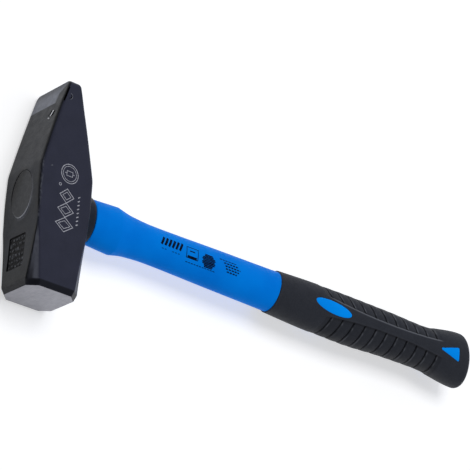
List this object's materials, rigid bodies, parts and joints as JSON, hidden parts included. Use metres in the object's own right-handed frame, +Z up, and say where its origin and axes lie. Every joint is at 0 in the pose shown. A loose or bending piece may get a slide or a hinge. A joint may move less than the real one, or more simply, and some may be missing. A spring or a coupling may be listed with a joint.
{
  "type": "cross peen hammer",
  "caption": "Cross peen hammer with a square striking face, a wedge peen and a two-tone moulded handle over a glass-fibre core.",
  "frame": {"origin": "on the plane of the lower cheek, under the middle of the eye, where the handle's axis crosses the head's", "axes": "+X down the handle to the butt, +Y along the head to the peen, +Z up through the cheeks"},
  "size_m": [0.36, 0.135, 0.036],
  "materials": {
    "painted_head": "satin",
    "bond_resin": "satin",
    "glass_fibre": "matte",
    "black_plastic": "satin",
    "blue_plastic": "satin",
    "grip_rubber": "matte",
    "inlay_plastic": "satin"
  },
  "bodies": {
    "root": {"head": "painted_head", "eye_bond": "bond_resin", "core_rod": "glass_fibre", "neck_collar": "black_plastic", "shaft_jacket": "blue_plastic", "grip_sleeve": "grip_rubber", "upper_oval_inlay": "inlay_plastic", "lower_oval_inlay": "inlay_plastic", "upper_butt_inlay": "inlay_plastic", "lower_butt_inlay": "inlay_plastic"}
  },
  "joints": []
}
